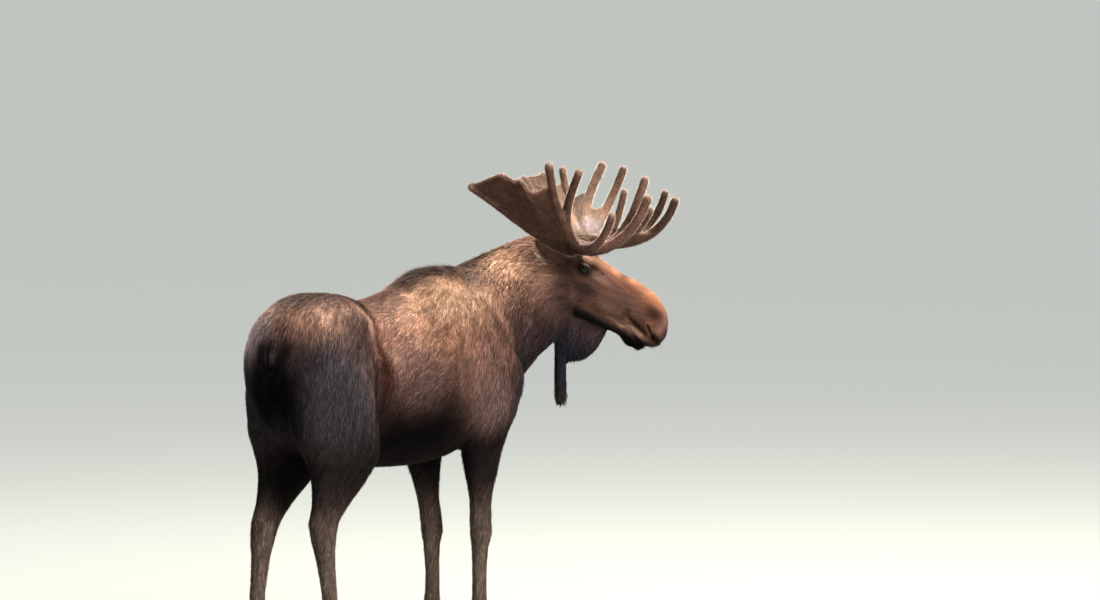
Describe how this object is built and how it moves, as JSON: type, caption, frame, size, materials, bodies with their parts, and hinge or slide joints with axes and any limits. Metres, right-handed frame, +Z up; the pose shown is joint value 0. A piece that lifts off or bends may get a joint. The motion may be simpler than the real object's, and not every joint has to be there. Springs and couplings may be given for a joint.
{
  "type": "moose",
  "caption": "Life-size standing bull moose with palmate antlers in velvet, head turned slightly aside, throat bell, shoulder hump and cloven hooves.",
  "frame": {"origin": "on the floor, under the middle of the model's bounding box", "axes": "+X is the way the trunk faces, +Y is the animal's left and +Z is up; the head is turned about 63 degrees to the animal's right"},
  "size_m": [2.8822, 1.2084, 2.485],
  "materials": {
    "coat": "dark brown fur",
    "leg_coat": "short grey-brown fur",
    "velvet": "short brown velvet",
    "hoof": "worn dark horn",
    "eye": "wet, near black"
  },
  "bodies": {
    "root": {"antler_left_beam": "velvet", "antler_left_brow": "velvet", "antler_left_palm": "velvet", "antler_right_beam": "velvet", "antler_right_brow": "velvet", "antler_right_palm": "velvet", "barrel": "coat", "bell": "coat", "dewclaw_foreleg_left_inner": "hoof", "dewclaw_foreleg_left_outer": "hoof", "dewclaw_foreleg_right_inner": "hoof", "dewclaw_foreleg_right_outer": "hoof", "dewclaw_hindleg_left_inner": "hoof", "dewclaw_hindleg_left_outer": "hoof", "dewclaw_hindleg_right_inner": "hoof", "dewclaw_hindleg_right_outer": "hoof", "ear_left": "coat", "ear_right": "coat", "eye_left": "eye", "eye_right": "eye", "forefoot_left": "leg_coat", "forefoot_right": "leg_coat", "foreleg_left": "leg_coat", "foreleg_right": "leg_coat", "forequarters": "coat", "head": "coat", "hindfoot_left": "leg_coat", "hindfoot_right": "leg_coat", "hindleg_left": "leg_coat", "hindleg_right": "leg_coat", "hindquarters": "coat", "hoof_foreleg_left_inner": "hoof", "hoof_foreleg_left_outer": "hoof", "hoof_foreleg_right_inner": "hoof", "hoof_foreleg_right_outer": "hoof", "hoof_hindleg_left_inner": "hoof", "hoof_hindleg_left_outer": "hoof", "hoof_hindleg_right_inner": "hoof", "hoof_hindleg_right_outer": "hoof", "neck": "coat", "tail": "coat"}
  },
  "joints": []
}
